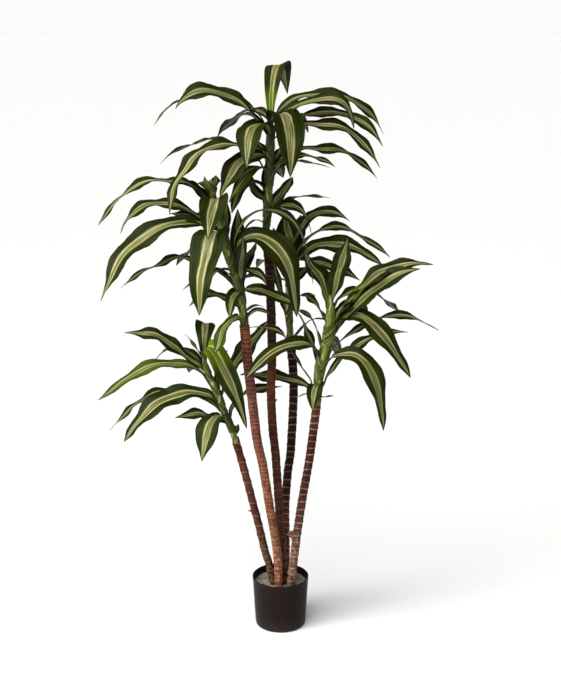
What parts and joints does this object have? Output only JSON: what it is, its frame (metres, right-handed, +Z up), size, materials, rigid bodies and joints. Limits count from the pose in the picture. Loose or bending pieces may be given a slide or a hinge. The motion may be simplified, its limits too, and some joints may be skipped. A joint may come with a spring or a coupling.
{
  "type": "potted dracaena",
  "caption": "Tall striped-leaf dracaena: slim ring-scarred canes fan out of one small tapered pot, each with a head of long arching lance leaves with cream stripes.",
  "frame": {"origin": "centre of the pot's flat bottom face, on the floor", "axes": "+Z up along the pot's axis, -Y towards the viewer of the front, +X to the viewer's right"},
  "size_m": [0.877, 0.4167, 1.5037],
  "materials": {
    "pot": "matte black nursery plastic",
    "fill": "rough grey cast fill",
    "bark_a": "dry bark with raised leaf-scar rings",
    "bark_b": "dry bark with raised leaf-scar rings",
    "bark_c": "dry bark with raised leaf-scar rings",
    "bark_d": "dry bark with raised leaf-scar rings",
    "bark_e": "dry bark with raised leaf-scar rings",
    "leaf": "satin green blade with cream stripes"
  },
  "bodies": {
    "root": {"pot": "pot", "fill": "fill", "cane_a": "bark_a", "cane_b": "bark_b", "cane_c": "bark_c", "cane_d": "bark_d", "cane_e": "bark_e", "head_a": "leaf", "head_b": "leaf", "head_c": "leaf", "head_d": "leaf", "head_e": "leaf"}
  },
  "joints": []
}
